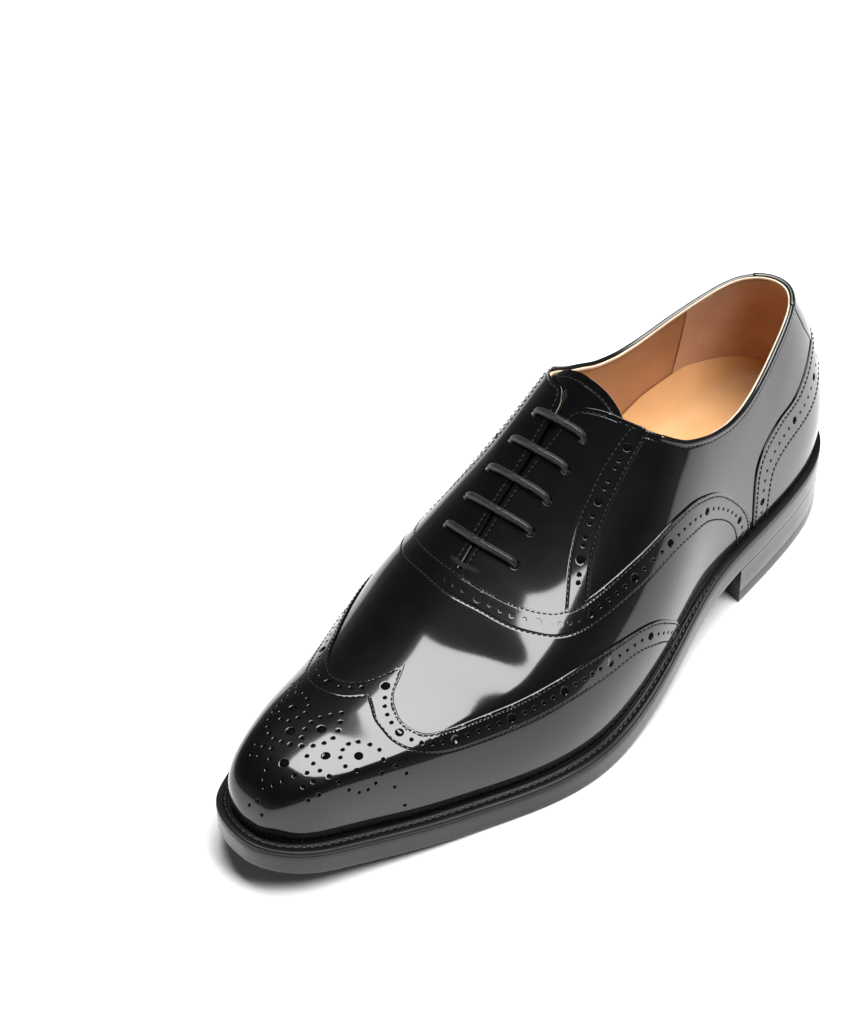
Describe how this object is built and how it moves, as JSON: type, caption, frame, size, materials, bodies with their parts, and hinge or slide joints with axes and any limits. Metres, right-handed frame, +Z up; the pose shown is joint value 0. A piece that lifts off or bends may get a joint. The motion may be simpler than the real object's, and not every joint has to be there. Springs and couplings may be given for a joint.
{
  "type": "wingtip oxford shoe",
  "caption": "Left wingtip oxford with winged toe cap, heel counter, laced facings, stitched welt and low stacked heel, hollow for a foot.",
  "frame": {"origin": "centre of the shoe's outline on the floor it stands on", "axes": "+Z up, toe towards -Y, heel towards +Y, outer (lateral) side towards +X"},
  "size_m": [0.1086, 0.307, 0.1109],
  "materials": {
    "upper_leather": "high gloss polished black",
    "sole_leather": "black edge dressing, semi gloss",
    "welt_leather": "waxed black, stitched",
    "heel_stack": "black edge dressing, semi gloss",
    "sock_leather": "smooth satin natural tan",
    "lining_leather": "soft matt tan",
    "lace_cord": "waxed black round cord",
    "stitch_thread": "waxed black thread"
  },
  "bodies": {
    "root": {"outsole": "sole_leather", "welt": "welt_leather", "heel": "heel_stack", "insole": "sock_leather", "upper": "upper_leather", "wing_cap": "upper_leather", "heel_counter": "upper_leather", "tongue": "upper_leather", "lace_bar_1": "lace_cord", "lace_bar_2": "lace_cord", "lace_bar_3": "lace_cord", "lace_bar_4": "lace_cord", "lace_bar_5": "lace_cord"}
  },
  "joints": []
}
